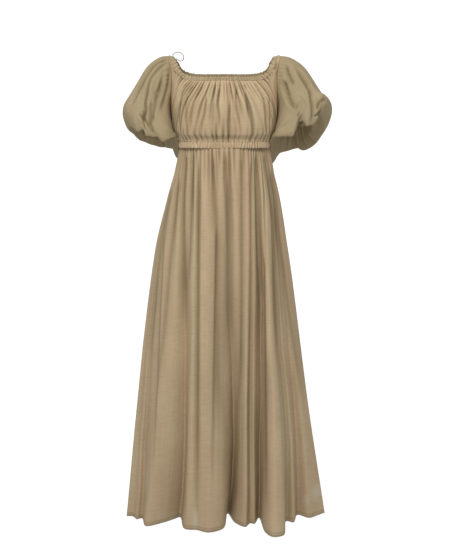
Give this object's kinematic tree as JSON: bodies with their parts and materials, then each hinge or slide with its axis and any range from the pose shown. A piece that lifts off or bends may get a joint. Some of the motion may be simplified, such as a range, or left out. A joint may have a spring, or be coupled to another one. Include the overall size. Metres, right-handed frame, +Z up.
{
  "type": "maxi dress",
  "caption": "Worn empire-line maxi dress in thin khaki-beige cotton lawn, with a gathered square neck, elastic casing under the bust, bubble sleeves and a full skirt in long folds.",
  "frame": {"origin": "midway between the two shoulder strips, level with their undersides, where the wearer's shoulders hold the dress", "axes": "+Z up; the front of the dress faces -Y; +X is to the right as seen from the front"},
  "size_m": [0.5313, 0.3525, 1.2283],
  "materials": {
    "lawn": "matte, slubby, slightly sheer",
    "sleeve_lawn": "matte, slubby, slightly sheer",
    "ruched_lawn": "matte, finely gathered",
    "satin_tape": "soft satin"
  },
  "bodies": {
    "root": {"bodice_back": "lawn", "bodice_front": "lawn", "cuff_left": "ruched_lawn", "cuff_right": "ruched_lawn", "hanger_loop": "satin_tape", "neck_casing_back": "ruched_lawn", "neck_casing_front": "ruched_lawn", "skirt_back": "lawn", "skirt_front": "lawn", "sleeve_left": "sleeve_lawn", "sleeve_right": "sleeve_lawn", "waist_casing_back": "ruched_lawn", "waist_casing_front": "ruched_lawn"}
  },
  "joints": []
}
